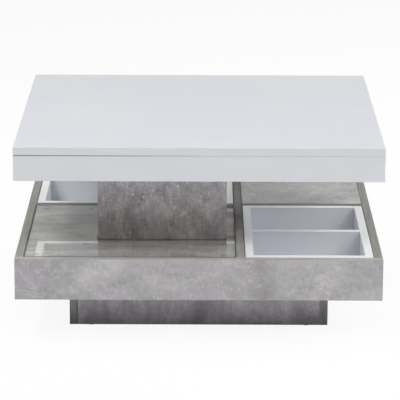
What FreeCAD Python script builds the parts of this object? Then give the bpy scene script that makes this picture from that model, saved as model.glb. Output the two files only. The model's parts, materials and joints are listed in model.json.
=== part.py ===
import FreeCAD, Part
import math
import os

# Swivel coffee table: a square white top turns on an off-centre column above a divided storage tray.
# Millimetres, +Z up, front towards -Y. The origin is on the floor under the middle of the table.

# Boards
TABLE_SIDE = 670.0  # side of the square top, and of the tray
BOARD = 15.0  # frame boards, panels, column and base
TOP_BOARD = 15.0  # panel of the top
EDGE_BREAK = 0.6  # chamfer on the banded edges

# Heights, from the floor upwards
GLIDE_HEIGHT = 1.0
BASE_HEIGHT = 75.0
TRAY_HEIGHT = 77.0
OPEN_GAP = 145.0  # clear space between tray and top
APRON_HEIGHT = 47.0

# Plan of the tray and base
BASE_SETBACK = 95.0  # from the tray's outer face to the base
DIVIDER_AT = 76.0  # middle of each divider, from the middle of the tray
DIVIDER_HALVING_FIT = 0.2  # play in the halved crossing of the dividers
PANEL_FIT = 0.5  # play round a panel and round the column that passes through it

# Column, by the clear strips round it in its zone of the tray
STRIP_LEFT = 131.5
STRIP_FRONT = 123.5
STRIP_RIGHT = 17.0
STRIP_BACK = 25.0
CAP_DOWEL_SPREAD = 60.0

# Glass plate over the front panel
GLASS = 5.0
GLASS_GAP = 1.0
GLASS_CORNER = 4.0
GLASS_ARRIS = 0.7
PAD_RADIUS = 5.0
PAD_HEIGHT = 1.0
PAD_INSET = 22.0

# Cleats under the panels
CLEAT_WIDTH = 15.0
CLEAT_HEIGHT = 20.0

# Lift-out boxes
INSERT_GAP = 1.5  # play between a box and the tray
INSERT_WALL = 15.0
INSERT_BOTTOM = 4.0
INSERT_BOTTOM_UP = 6.0  # underside of the bottom above the lower edge of the walls
GROOVE_DEPTH = 6.0
GROOVE_FIT = 0.2

# Ball-bearing swivel
SWIVEL_SIDE = 180.0
SWIVEL_CORNER = 10.0
SHEET = 1.5
BALL_RADIUS = 2.5
BALL_COUNT = 12
BALL_CIRCLE = 62.0
RUN_GAP = 0.3  # running clearance between pieces that turn
RACE_LIFT = 0.2  # air between a groove's back and the board behind it
RACE_RIM = 5.0  # half width of a race over its rims
RACE_FOOT = 7.5  # half width of a race at the foot of its ramps
CAGE_THICKNESS = 1.2
CAGE_AIR = 0.7
CAGE_HALF_WIDTH = 4.6
COLLAR_RADIUS = 24.0
LIP_WIDTH = 6.0
LIP_AIR = 1.7  # air between the rolled lip and the top panel
SWIVEL_HOLE_INSET = 13.0

# Fasteners
DOWEL_RADIUS = 4.0
DOWEL_LENGTH = 30.0
DOWEL_IN_FACE = 10.0  # depth of a dowel in the face that it enters
DOWEL_EDGE = 20.0  # from a board's long edge to the dowel
TOP_DOWEL_SPREAD = 220.0
DRILL_FIT = 0.1
DRILL_SPARE = 0.5  # extra depth of a blind hole
SCREW_RADIUS = 2.0
SCREW_HEAD_RADIUS = 4.0
SCREW_HEAD_HEIGHT = 2.2
SWIVEL_SCREW = 12.0
FOOT_SCREW = 24.0
FOOT_SCREW_INSET = 35.0
BLOCK_SIDE = 26.0
BLOCK_HEIGHT = 28.0
BLOCK_BREAK = 6.0
BLOCK_SCREW = 37.0
CAM_RADIUS = 7.5
CAM_HEIGHT = 12.0
CAM_SETBACK = 24.0
CAM_SPREAD = 190.0
CAM_SLOT = 2.0
CAM_BOLT_RADIUS = 3.0
CAM_BOLT_IN_FACE = 10.0
GLIDE_RADIUS = 6.5
GLIDE_CHAMFER = 0.4
GLIDE_PIN_RADIUS = 1.25
GLIDE_PIN = 10.0
GLIDE_INSET = 40.0

# Levels and places that follow from these sizes
BASE_FOOT = GLIDE_HEIGHT
TRAY_FOOT = BASE_FOOT + BASE_HEIGHT
TRAY_FLOOR = TRAY_FOOT + BOARD
TRAY_RIM = TRAY_FOOT + TRAY_HEIGHT
APRON_FOOT = TRAY_RIM + OPEN_GAP
TOP_UNDERSIDE = APRON_FOOT + APRON_HEIGHT
TABLE_HEIGHT = TOP_UNDERSIDE + TOP_BOARD
BALL_LEVEL = SHEET + RACE_LIFT + RUN_GAP + BALL_RADIUS  # above the swivel's underside
SWIVEL_HEIGHT = 2 * BALL_LEVEL
COLUMN_TOP = TOP_UNDERSIDE - SWIVEL_HEIGHT
OUTER = TABLE_SIDE / 2
INNER = OUTER - BOARD
TABLE_SPAN = (-OUTER, OUTER, -OUTER, OUTER)
BASE_OUTER = OUTER - BASE_SETBACK
BASE_INNER = BASE_OUTER - BOARD
BASE_SPAN = (-BASE_OUTER, BASE_OUTER, -BASE_OUTER, BASE_OUTER)
LOW_FACE = DIVIDER_AT - BOARD / 2  # divider face towards the wide zone
HIGH_FACE = DIVIDER_AT + BOARD / 2  # divider face towards the narrow zone
COLUMN_X = (-INNER + STRIP_LEFT, LOW_FACE - STRIP_RIGHT)
COLUMN_Y = (-INNER + STRIP_FRONT, LOW_FACE - STRIP_BACK)
AXIS_X = sum(COLUMN_X) / 2
AXIS_Y = sum(COLUMN_Y) / 2

X = FreeCAD.Vector(1, 0, 0)
Y = FreeCAD.Vector(0, 1, 0)
Z = FreeCAD.Vector(0, 0, 1)


def at(x, y, z):
    return FreeCAD.Vector(x, y, z)


def block(x0, x1, y0, y1, z0, z1):
    """Plain block between two corners."""
    return Part.makeBox(x1 - x0, y1 - y0, z1 - z0, at(x0, y0, z0))


def board(x0, x1, y0, y1, z0, z1):
    """Banded board: a block with every edge broken."""
    solid = block(x0, x1, y0, y1, z0, z1)
    return solid.makeChamfer(EDGE_BREAK, solid.Edges)


def rod(radius, start, direction, length):
    return Part.makeCylinder(radius, length, start, direction)


def grid(half_x, half_y, z, centre_x=0.0, centre_y=0.0):
    """Four points at the corners of a rectangle."""
    return [at(centre_x + sx * half_x, centre_y + sy * half_y, z) for sx in (-1, 1) for sy in (-1, 1)]


def ring_of_boards(span, z0, z1, fronts_run_through):
    """Four boards round a rectangle: the pair that runs through covers the ends of the other pair."""
    x0, x1, y0, y1 = span
    cut_x = 0 if fronts_run_through else BOARD
    cut_y = BOARD if fronts_run_through else 0
    return {
        "front": board(x0 + cut_x, x1 - cut_x, y0, y0 + BOARD, z0, z1),
        "back": board(x0 + cut_x, x1 - cut_x, y1 - BOARD, y1, z0, z1),
        "left": board(x0, x0 + BOARD, y0 + cut_y, y1 - cut_y, z0, z1),
        "right": board(x1 - BOARD, x1, y0 + cut_y, y1 - cut_y, z0, z1),
    }


def corner_dowels(span, levels, fronts_run_through):
    """Dowels at the four corners of a ring of boards, as (start, direction)."""
    x0, x1, y0, y1 = span
    middle = BOARD / 2  # from a board's outer face to the middle of its edge
    start = BOARD - DOWEL_IN_FACE  # from a board's outer face to the dowel's end in it
    places = []
    for x, way_x in ((x0, X), (x1, -X)):
        for y, way_y in ((y0, Y), (y1, -Y)):
            for z in levels:
                if fronts_run_through:
                    places.append((at(x, y, z) + way_x * middle + way_y * start, way_y))
                else:
                    places.append((at(x, y, z) + way_y * middle + way_x * start, way_x))
    return places


def dowels(places):
    return Part.makeCompound([rod(DOWEL_RADIUS, start, way, DOWEL_LENGTH) for start, way in places])


def dowel_holes(places):
    length = DOWEL_LENGTH + 2 * DRILL_SPARE
    return [rod(DOWEL_RADIUS + DRILL_FIT, start - way * DRILL_SPARE, way, length) for start, way in places]


def screw(seat, way, length):
    """Pan-head screw: the head's underside is at the seat, the shank runs along the way."""
    head = rod(SCREW_HEAD_RADIUS, seat - way * SCREW_HEAD_HEIGHT, way, SCREW_HEAD_HEIGHT)
    return head.fuse(rod(SCREW_RADIUS, seat, way, length)).removeSplitter()


def screws(seats, way, length):
    return Part.makeCompound([screw(seat, way, length) for seat in seats])


def screw_holes(seats, way, length):
    return [rod(SCREW_RADIUS + DRILL_FIT, seat, way, length + DRILL_SPARE) for seat in seats]


def head_recesses(seats, way):
    depth = SCREW_HEAD_HEIGHT + DRILL_FIT
    return [rod(SCREW_HEAD_RADIUS + DRILL_FIT, seat - way * depth, way, depth) for seat in seats]


def corner_blocks(half_inside, z_top):
    """Glue blocks in the inside corners of a ring of boards, under the panel that they hold."""
    low = half_inside - BLOCK_SIDE
    shapes = []
    for sx in (-1, 1):
        for sy in (-1, 1):
            outline = [(half_inside, half_inside), (low, half_inside), (low, low + BLOCK_BREAK)]
            outline += [(low + BLOCK_BREAK, low), (half_inside, low)]
            corners = [at(sx * x, sy * y, z_top - BLOCK_HEIGHT) for x, y in outline]
            face = Part.Face(Part.makePolygon(corners + corners[:1]))
            shapes.append(face.extrude(Z * BLOCK_HEIGHT))
    return Part.makeCompound(shapes)


def block_screw_seats(half_inside, z_top):
    reach = half_inside - BLOCK_SIDE / 2
    return grid(reach, reach, z_top - BLOCK_HEIGHT)


def race_surface(flange, rim, floor, inner):
    """One pressed surface of a bearing plate in the (radius, height) plane, from the outside in."""
    half_groove = math.sqrt((BALL_RADIUS + RUN_GAP) ** 2 - (BALL_LEVEL - lower_rim()) ** 2)

    def point(offset, z):
        return at(BALL_CIRCLE + offset, 0, z)

    outer_foot = point(RACE_FOOT, flange)
    outer_rim = point(RACE_RIM, rim)
    outer_lip = point(half_groove, rim)
    inner_lip = point(-half_groove, rim)
    inner_rim = point(-RACE_RIM, rim)
    inner_foot = point(-RACE_FOOT, inner)
    edges = [
        Part.LineSegment(outer_foot, outer_rim),
        Part.LineSegment(outer_rim, outer_lip),
        Part.Arc(outer_lip, point(0, floor), inner_lip),
        Part.LineSegment(inner_lip, inner_rim),
        Part.LineSegment(inner_rim, inner_foot),
    ]
    return [edge.toShape() for edge in edges], outer_foot, inner_foot


def lower_rim():
    """Height of the lower race's rims, just under the ball cage."""
    return BALL_LEVEL - CAGE_THICKNESS / 2 - CAGE_AIR


def path(points):
    return [Part.LineSegment(a, b).toShape() for a, b in zip(points, points[1:])]


def revolved(edges):
    face = Part.Face(Part.Wire(Part.__sortEdges__(edges)))
    return face.revolve(at(0, 0, 0), Z, 360)


def swivel_flange(z):
    """Square flange of a bearing plate, with rounded corners and a hole for its pressed ring."""
    half = SWIVEL_SIDE / 2
    plate = block(-half, half, -half, half, z, z + SHEET)
    upright = [edge for edge in plate.Edges if abs(edge.tangentAt(edge.FirstParameter).z) > 0.5]
    plate = plate.makeFillet(SWIVEL_CORNER, upright)
    reach = half - SWIVEL_HOLE_INSET
    holes = [rod(SCREW_RADIUS + DRILL_FIT, p, Z, SHEET) for p in grid(reach, reach, z)]
    holes.append(rod(BALL_CIRCLE + RACE_FOOT, at(0, 0, z), Z, SHEET))
    return plate.cut(holes)


def make_swivel():
    """Two pressed plates with ball grooves. The lower one's collar is rolled over the upper one's rim."""
    floor = BALL_LEVEL - BALL_RADIUS - RUN_GAP
    rim = lower_rim()
    lip_top = SWIVEL_HEIGHT - LIP_AIR
    lip_foot = lip_top - SHEET
    dish_top = lip_foot - RUN_GAP
    collar_inside = COLLAR_RADIUS - SHEET

    top_edges, top_out, top_in = race_surface(SHEET, rim, floor, SHEET)
    foot_edges, foot_out, foot_in = race_surface(0, rim - SHEET, floor - SHEET, 0)
    collar = [
        top_in,
        at(COLLAR_RADIUS, 0, SHEET),
        at(COLLAR_RADIUS, 0, lip_foot),
        at(COLLAR_RADIUS + LIP_WIDTH, 0, lip_foot),
        at(COLLAR_RADIUS + LIP_WIDTH, 0, lip_top),
        at(collar_inside, 0, lip_top),
        at(collar_inside, 0, 0),
        foot_in,
    ]
    lower = revolved(top_edges + foot_edges + path(collar) + path([top_out, foot_out]))
    lower = swivel_flange(0).fuse(lower).removeSplitter()

    face_edges, face_out, face_in = race_surface(
        SWIVEL_HEIGHT - SHEET, SWIVEL_HEIGHT - rim, SWIVEL_HEIGHT - floor, dish_top - SHEET
    )
    back_edges, back_out, back_in = race_surface(
        SWIVEL_HEIGHT, SWIVEL_HEIGHT - rim + SHEET, SWIVEL_HEIGHT - floor + SHEET, dish_top
    )
    hole = COLLAR_RADIUS + RUN_GAP
    dish = [face_in, at(hole, 0, dish_top - SHEET), at(hole, 0, dish_top), back_in]
    upper = revolved(face_edges + back_edges + path(dish) + path([face_out, back_out]))
    upper = swivel_flange(SWIVEL_HEIGHT - SHEET).fuse(upper).removeSplitter()

    turns = [2 * math.pi * n / BALL_COUNT for n in range(BALL_COUNT)]
    centres = [at(BALL_CIRCLE * math.cos(a), BALL_CIRCLE * math.sin(a), BALL_LEVEL) for a in turns]
    balls = Part.makeCompound([Part.makeSphere(BALL_RADIUS, c) for c in centres])
    cage_foot = BALL_LEVEL - CAGE_THICKNESS / 2
    cage = rod(BALL_CIRCLE + CAGE_HALF_WIDTH, at(0, 0, cage_foot), Z, CAGE_THICKNESS)
    openings = [rod(BALL_CIRCLE - CAGE_HALF_WIDTH, at(0, 0, cage_foot), Z, CAGE_THICKNESS)]
    openings += [rod(BALL_RADIUS + RUN_GAP, at(c.x, c.y, cage_foot), Z, CAGE_THICKNESS) for c in centres]
    cage = cage.cut(openings)

    nodes = {
        "lower_swivel_plate": lower,
        "upper_swivel_plate": upper,
        "bearing_balls": balls,
        "ball_cage": cage,
    }
    for shape in nodes.values():
        shape.translate(at(AXIS_X, AXIS_Y, COLUMN_TOP))
    return nodes


def swivel_screw_seats(z):
    reach = SWIVEL_SIDE / 2 - SWIVEL_HOLE_INSET
    return grid(reach, reach, z, AXIS_X, AXIS_Y)


def make_top():
    """Top panel on its apron. Dowels, glue blocks and the swivel's screws hold it together."""
    panel = board(-OUTER, OUTER, -OUTER, OUTER, TOP_UNDERSIDE, TABLE_HEIGHT)
    apron = ring_of_boards(TABLE_SPAN, APRON_FOOT, TOP_UNDERSIDE, True)

    pins = corner_dowels(TABLE_SPAN, [APRON_FOOT + DOWEL_EDGE], True)
    middle = OUTER - BOARD / 2
    pin_foot = TOP_UNDERSIDE + DOWEL_IN_FACE - DOWEL_LENGTH
    for s in (-1, 1):
        for spread in (-TOP_DOWEL_SPREAD, TOP_DOWEL_SPREAD):
            pins.append((at(spread, s * middle, pin_foot), Z))
            pins.append((at(s * middle, spread, pin_foot), Z))
    pin_holes = dowel_holes(pins)

    block_seats = block_screw_seats(INNER, TOP_UNDERSIDE)
    block_holes = screw_holes(block_seats, Z, BLOCK_SCREW)
    plate_seats = swivel_screw_seats(TOP_UNDERSIDE - SHEET)
    plate_holes = screw_holes(plate_seats, Z, SWIVEL_SCREW)

    nodes = {"top_panel": panel.cut(pin_holes + block_holes + plate_holes)}
    for name, shape in apron.items():
        nodes["apron_" + name] = shape.cut(pin_holes)
    nodes["top_dowels"] = dowels(pins)
    nodes["top_corner_blocks"] = corner_blocks(INNER, TOP_UNDERSIDE).cut(block_holes)
    nodes["top_block_screws"] = screws(block_seats, Z, BLOCK_SCREW)
    nodes["upper_plate_screws"] = screws(plate_seats, Z, SWIVEL_SCREW)
    return nodes


def grown(span, margin):
    """A rectangle (x0, x1, y0, y1) grown by a margin all round."""
    x0, x1, y0, y1 = span
    return (x0 - margin, x1 + margin, y0 - margin, y1 + margin)


def foot_screw_seats():
    x0, x1, y0, y1 = grown(COLUMN_X + COLUMN_Y, -BOARD - FOOT_SCREW_INSET)
    return grid((x1 - x0) / 2, (y1 - y0) / 2, TRAY_FOOT + SCREW_HEAD_HEIGHT, AXIS_X, AXIS_Y)


def column_envelope(play):
    """Shaft that the column needs through a panel or a cleat."""
    return block(*grown(COLUMN_X + COLUMN_Y, play), TRAY_FLOOR, COLUMN_TOP)


def make_column():
    """Hollow column from the tray up into the apron, with a foot board inside and a cap on its walls."""
    span = COLUMN_X + COLUMN_Y
    walls_top = COLUMN_TOP - BOARD
    walls = ring_of_boards(span, TRAY_FLOOR, walls_top, True)
    cap = block(*span, walls_top, COLUMN_TOP)
    foot = block(*grown(span, -BOARD), TRAY_FLOOR, TRAY_FLOOR + BOARD)

    pins = corner_dowels(span, [TRAY_FLOOR + BOARD + DOWEL_EDGE, walls_top - DOWEL_EDGE], True)
    cap_pin_foot = walls_top + DOWEL_IN_FACE - DOWEL_LENGTH
    for y in (COLUMN_Y[0] + BOARD / 2, COLUMN_Y[1] - BOARD / 2):
        for spread in (-CAP_DOWEL_SPREAD, CAP_DOWEL_SPREAD):
            pins.append((at(AXIS_X + spread, y, cap_pin_foot), Z))
    pin_holes = dowel_holes(pins)
    plate_seats = swivel_screw_seats(COLUMN_TOP + SHEET)
    foot_seats = foot_screw_seats()

    nodes = {}
    for name, shape in walls.items():
        nodes["column_" + name] = shape.cut(pin_holes)
    nodes["column_cap"] = cap.cut(pin_holes + screw_holes(plate_seats, -Z, SWIVEL_SCREW))
    nodes["column_foot"] = foot.cut(screw_holes(foot_seats, Z, FOOT_SCREW))
    nodes["column_dowels"] = dowels(pins)
    nodes["lower_plate_screws"] = screws(plate_seats, -Z, SWIVEL_SCREW)
    nodes["column_foot_screws"] = screws(foot_seats, Z, FOOT_SCREW)
    return nodes


def cam_places():
    """Cam locks along the four edges of the tray bottom, as (middle of the cam, way to the frame board)."""
    reach = INNER - CAM_SETBACK
    places = []
    for s in (-1, 1):
        for spread in (-CAM_SPREAD, CAM_SPREAD):
            places.append((at(spread, s * reach, TRAY_FOOT), Y * s))
            places.append((at(s * reach, spread, TRAY_FOOT), X * s))
    return places


def cam_bolt(cam, way, radius, spare):
    middle = cam + Z * (BOARD / 2)
    return rod(radius, middle, way, CAM_SETBACK + CAM_BOLT_IN_FACE + spare)


def cam_lock(cam, way):
    """Cam disc with a driver slot in its face and a channel for the bolt's head."""
    disc = rod(CAM_RADIUS, cam, Z, CAM_HEIGHT)
    slot = block(-CAM_RADIUS, CAM_RADIUS, -CAM_SLOT / 2, CAM_SLOT / 2, 0, CAM_SLOT)
    slot.translate(cam)
    return disc.cut([slot, cam_bolt(cam, way, CAM_BOLT_RADIUS + DRILL_FIT, 0)])


def make_tray():
    """Frame, bottom and two halved dividers, with the cams and dowels that draw them together."""
    frame = ring_of_boards(TABLE_SPAN, TRAY_FOOT, TRAY_RIM, True)
    bottom = block(-INNER, INNER, -INNER, INNER, TRAY_FOOT, TRAY_FLOOR)
    long_divider = board(LOW_FACE, HIGH_FACE, -INNER, INNER, TRAY_FLOOR, TRAY_RIM)
    cross_divider = board(-INNER, INNER, LOW_FACE, HIGH_FACE, TRAY_FLOOR, TRAY_RIM)
    low = LOW_FACE - DIVIDER_HALVING_FIT / 2
    high = HIGH_FACE + DIVIDER_HALVING_FIT / 2
    middle = (TRAY_FLOOR + TRAY_RIM) / 2
    long_divider = long_divider.cut(block(LOW_FACE, HIGH_FACE, low, high, TRAY_FLOOR, middle))
    cross_divider = cross_divider.cut(block(low, high, LOW_FACE, HIGH_FACE, middle, TRAY_RIM))

    levels = [TRAY_FOOT + DOWEL_EDGE, TRAY_RIM - DOWEL_EDGE]
    pins = corner_dowels(TABLE_SPAN, levels, True)
    divider_level = TRAY_RIM - DOWEL_EDGE
    for s in (-1, 1):
        pins.append((at(DIVIDER_AT, s * (INNER + DOWEL_IN_FACE), divider_level), Y * -s))
        pins.append((at(s * (INNER + DOWEL_IN_FACE), DIVIDER_AT, divider_level), X * -s))
    pin_holes = dowel_holes(pins)

    cams = cam_places()
    bolt_holes = [cam_bolt(c, way, CAM_BOLT_RADIUS + DRILL_FIT, DRILL_SPARE) for c, way in cams]
    cam_pockets = [rod(CAM_RADIUS + DRILL_FIT, c, Z, CAM_HEIGHT + DRILL_FIT) for c, _ in cams]
    foot_seats = foot_screw_seats()
    base_seats = block_screw_seats(BASE_INNER, TRAY_FOOT)
    bottom_holes = bolt_holes + cam_pockets + head_recesses(foot_seats, Z)
    bottom_holes += screw_holes(foot_seats, Z, FOOT_SCREW) + screw_holes(base_seats, Z, BLOCK_SCREW)

    nodes = {}
    for name, shape in frame.items():
        nodes["tray_" + name] = shape.cut(pin_holes + bolt_holes)
    nodes["tray_bottom"] = bottom.cut(bottom_holes)
    nodes["long_divider"] = long_divider.cut(pin_holes)
    nodes["cross_divider"] = cross_divider.cut(pin_holes)
    nodes["tray_dowels"] = dowels(pins)
    nodes["cam_locks"] = Part.makeCompound([cam_lock(c, way) for c, way in cams])
    nodes["cam_bolts"] = Part.makeCompound([cam_bolt(c, way, CAM_BOLT_RADIUS, 0) for c, way in cams])
    return nodes


def cleats(x0, x1, y0, y1, z):
    """Four strips round a zone that carry a panel whose underside is at z."""
    foot = z - CLEAT_HEIGHT
    strips = [
        block(x0, x1, y0, y0 + CLEAT_WIDTH, foot, z),
        block(x0, x1, y1 - CLEAT_WIDTH, y1, foot, z),
        block(x0, x0 + CLEAT_WIDTH, y0 + CLEAT_WIDTH, y1 - CLEAT_WIDTH, foot, z),
        block(x1 - CLEAT_WIDTH, x1, y0 + CLEAT_WIDTH, y1 - CLEAT_WIDTH, foot, z),
    ]
    shaft = column_envelope(PANEL_FIT)
    return Part.makeCompound([strip.cut(shaft) for strip in strips])


def make_panels():
    """Front panel with the column through it, and the bare rear panel, each on its cleats."""
    front_top = TRAY_RIM - GLASS - PAD_HEIGHT
    wide = (-INNER + PANEL_FIT, LOW_FACE - PANEL_FIT)
    narrow = (HIGH_FACE + PANEL_FIT, INNER - PANEL_FIT)
    front = board(*wide, *wide, front_top - BOARD, front_top)
    rear = board(*narrow, *narrow, TRAY_RIM - BOARD, TRAY_RIM)
    return {
        "front_panel": front.cut(column_envelope(PANEL_FIT)),
        "rear_panel": rear,
        "front_panel_cleats": cleats(-INNER, LOW_FACE, -INNER, LOW_FACE, front_top - BOARD),
        "rear_panel_cleats": cleats(HIGH_FACE, INNER, HIGH_FACE, INNER, TRAY_RIM - BOARD),
    }


def make_glass():
    """L-shaped glass plate in front of the column and to its left, on soft pads, flush with the rim."""
    low = -INNER + GLASS_GAP
    high = LOW_FACE - GLASS_GAP
    notch_x = COLUMN_X[0] - GLASS_GAP
    notch_y = COLUMN_Y[0] - GLASS_GAP
    foot = TRAY_RIM - GLASS
    outline = [(low, low), (high, low), (high, notch_y), (notch_x, notch_y), (notch_x, high), (low, high)]
    corners = [at(x, y, foot) for x, y in outline]
    plate = Part.Face(Part.makePolygon(corners + corners[:1])).extrude(Z * GLASS)
    upright = [edge for edge in plate.Edges if abs(edge.tangentAt(edge.FirstParameter).z) > 0.5]
    plate = plate.makeFillet(GLASS_CORNER, upright)
    rims = [edge for face in plate.Faces if abs(face.normalAt(0, 0).z) > 0.5 for edge in face.Edges]
    plate = plate.makeChamfer(GLASS_ARRIS, rims)
    spots = [
        (low + PAD_INSET, low + PAD_INSET),
        (high - PAD_INSET, low + PAD_INSET),
        (high - PAD_INSET, notch_y - PAD_INSET),
        (notch_x - PAD_INSET, notch_y - PAD_INSET),
        (notch_x - PAD_INSET, high - PAD_INSET),
        (low + PAD_INSET, high - PAD_INSET),
    ]
    pads = [rod(PAD_RADIUS, at(x, y, foot - PAD_HEIGHT), Z, PAD_HEIGHT) for x, y in spots]
    return {"glass_plate": plate, "glass_pads": Part.makeCompound(pads)}


def make_insert(name, x0, x1, y0, y1):
    """Lift-out box for one zone, its divider half way along its longer side."""
    length = max(x1 - x0, y1 - y0) - 2 * INSERT_GAP
    width = min(x1 - x0, y1 - y0) - 2 * INSERT_GAP
    runs_in_x = x1 - x0 > y1 - y0
    half_l = length / 2
    half_w = width / 2
    in_l = half_l - INSERT_WALL
    in_w = half_w - INSERT_WALL
    z0 = TRAY_FLOOR
    z1 = TRAY_RIM
    slab_foot = z0 + INSERT_BOTTOM_UP
    slab_top = slab_foot + INSERT_BOTTOM
    tongue = GROOVE_DEPTH - GROOVE_FIT
    slab = block(-in_l - tongue, in_l + tongue, -in_w - tongue, in_w + tongue, slab_foot, slab_top)
    cut_l = in_l + GROOVE_DEPTH
    cut_w = in_w + GROOVE_DEPTH
    groove = block(-cut_l, cut_l, -cut_w, cut_w, slab_foot, slab_top)
    half_wall = INSERT_WALL / 2
    pieces = {
        "low_long_wall": board(-half_l, half_l, -half_w, -in_w, z0, z1).cut(groove),
        "high_long_wall": board(-half_l, half_l, in_w, half_w, z0, z1).cut(groove),
        "low_short_wall": board(-half_l, -in_l, -in_w, in_w, z0, z1).cut(groove),
        "high_short_wall": board(in_l, half_l, -in_w, in_w, z0, z1).cut(groove),
        "divider": board(-half_wall, half_wall, -in_w, in_w, slab_top, z1),
        "bottom": slab,
    }
    along_x = {
        "low_long_wall": "front_wall",
        "high_long_wall": "back_wall",
        "low_short_wall": "left_wall",
        "high_short_wall": "right_wall",
    }
    # A quarter turn takes the box's length from X to Y, and its front wall to the right.
    along_y = {
        "low_long_wall": "right_wall",
        "high_long_wall": "left_wall",
        "low_short_wall": "front_wall",
        "high_short_wall": "back_wall",
    }
    labels = along_x if runs_in_x else along_y
    nodes = {}
    for label, shape in pieces.items():
        if not runs_in_x:
            shape.rotate(at(0, 0, 0), Z, 90)
        shape.translate(at((x0 + x1) / 2, (y0 + y1) / 2, 0))
        nodes[name + "_" + labels.get(label, label)] = shape
    return nodes


def make_base():
    """Plinth of four boards. Its side boards run through, and glue blocks tie it to the tray."""
    plinth = ring_of_boards(BASE_SPAN, BASE_FOOT, TRAY_FOOT, False)
    pins = corner_dowels(BASE_SPAN, [BASE_FOOT + DOWEL_EDGE, TRAY_FOOT - DOWEL_EDGE], False)
    middle = BASE_OUTER - BOARD / 2
    reach = BASE_OUTER - GLIDE_INSET
    spots = grid(middle, reach, 0) + grid(reach, middle, 0)
    pin_holes = dowel_holes(pins)
    glide_hole = BASE_FOOT + GLIDE_PIN + DRILL_SPARE
    pin_holes += [rod(GLIDE_PIN_RADIUS + DRILL_FIT, p, Z, glide_hole) for p in spots]
    seats = block_screw_seats(BASE_INNER, TRAY_FOOT)

    nodes = {}
    for name, shape in plinth.items():
        nodes["base_" + name] = shape.cut(pin_holes)
    nodes["base_dowels"] = dowels(pins)
    nodes["base_corner_blocks"] = corner_blocks(BASE_INNER, TRAY_FOOT).cut(screw_holes(seats, Z, BLOCK_SCREW))
    nodes["base_block_screws"] = screws(seats, Z, BLOCK_SCREW)
    nodes["floor_glides"] = Part.makeCompound([glide(p) for p in spots])
    return nodes


def glide(spot):
    """Plastic glide: a chamfered disc with a pin that is driven into the board's lower edge."""
    disc = rod(GLIDE_RADIUS, spot, Z, GLIDE_HEIGHT)
    low_rim = [edge for edge in disc.Edges if edge.BoundBox.ZMax < spot.z + GLIDE_HEIGHT / 2]
    disc = disc.makeChamfer(GLIDE_CHAMFER, low_rim)
    pin = rod(GLIDE_PIN_RADIUS, spot + Z * GLIDE_HEIGHT, Z, GLIDE_PIN)
    return disc.fuse(pin).removeSplitter()


def main():
    nodes = {}
    nodes.update(make_top())
    nodes.update(make_swivel())
    nodes.update(make_column())
    nodes.update(make_tray())
    nodes.update(make_panels())
    nodes.update(make_glass())
    nodes.update(make_insert("front_insert", HIGH_FACE, INNER, -INNER, LOW_FACE))
    nodes.update(make_insert("rear_insert", -INNER, LOW_FACE, HIGH_FACE, INNER))
    nodes.update(make_base())
    os.makedirs("parts", exist_ok=True)
    for name, shape in nodes.items():
        if not shape.isValid():
            raise ValueError(name + " is not a valid shape")
        shape.exportStep("parts/" + name + ".step")
    print(len(nodes), "nodes,", sum(len(shape.Solids) for shape in nodes.values()), "solids")
    print("swivel axis", AXIS_X, AXIS_Y, "height", TABLE_HEIGHT)


main()
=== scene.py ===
# %% [markdown]
# # A swivel coffee table
# A white square top turns on an off-centre column above a divided tray, and the tray stands on a
# recessed plinth. All boards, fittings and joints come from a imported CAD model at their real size,
# in metres. This lesson gives each piece its finish, models the small fittings that the CAD model
# keeps plain, and sets up a studio that shows the table as in its photograph.

# %% Load the table
import json
import math

import bpy
from mathutils import Matrix, Vector


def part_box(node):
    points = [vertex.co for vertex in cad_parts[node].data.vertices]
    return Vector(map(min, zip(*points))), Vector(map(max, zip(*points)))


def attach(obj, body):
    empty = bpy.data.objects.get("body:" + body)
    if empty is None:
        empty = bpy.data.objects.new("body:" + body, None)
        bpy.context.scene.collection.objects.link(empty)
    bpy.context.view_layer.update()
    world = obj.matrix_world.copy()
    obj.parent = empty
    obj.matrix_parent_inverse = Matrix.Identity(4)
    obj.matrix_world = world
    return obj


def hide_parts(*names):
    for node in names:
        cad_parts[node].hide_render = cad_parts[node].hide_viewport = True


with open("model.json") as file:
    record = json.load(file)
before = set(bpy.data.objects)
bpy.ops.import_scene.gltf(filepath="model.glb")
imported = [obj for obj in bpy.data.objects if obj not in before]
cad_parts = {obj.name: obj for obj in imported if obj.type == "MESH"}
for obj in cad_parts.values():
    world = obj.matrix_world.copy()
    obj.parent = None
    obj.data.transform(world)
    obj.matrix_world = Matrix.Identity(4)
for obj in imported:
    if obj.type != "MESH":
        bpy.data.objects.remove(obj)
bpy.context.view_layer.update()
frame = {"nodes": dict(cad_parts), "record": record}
nodes = frame["nodes"]

# %% [markdown]
# ## Camera
# The picture was taken with a long lens from about five metres away, so upright edges stay upright
# and the back of the top is only a little narrower than its front. These values come from fitting
# the corners of the top, the tray and the plinth, and they are set once, before any finish, so that
# every later look is judged from the right place.

# %% Camera
CAMERA_PLACE = (0.0017, -4.8982, 1.4027)
CAMERA_TILT = 14.011  # degrees below the horizon
CAMERA_ROLL = 0.211  # degrees
SENSOR_WIDTH = 36.0  # millimetres
FOCAL_LENGTH = 234.7  # millimetres

bpy.ops.object.select_all(action="DESELECT")
bpy.ops.object.camera_add()
camera = bpy.context.object
camera.name = "camera"
camera.data.sensor_width = SENSOR_WIDTH
camera.data.lens = FOCAL_LENGTH
turn = Matrix.Rotation(math.radians(90 - CAMERA_TILT), 4, "X")
lean = Matrix.Rotation(math.radians(CAMERA_ROLL), 4, "Z")
camera.matrix_world = Matrix.Translation(CAMERA_PLACE) @ turn @ lean
bpy.context.scene.camera = camera
bpy.context.scene.view_settings.view_transform = "Standard"
print("camera at", [round(x, 3) for x in camera.matrix_world.translation])

# %% [markdown]
# ## Tools for the finishes
# Every finish is a small tree of nodes. It could be wired by hand in the shader editor, but thirty
# trees are easier to keep alike in code. The first helpers start a finish, add a node with its inputs
# by name, and do one step of arithmetic.

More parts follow.
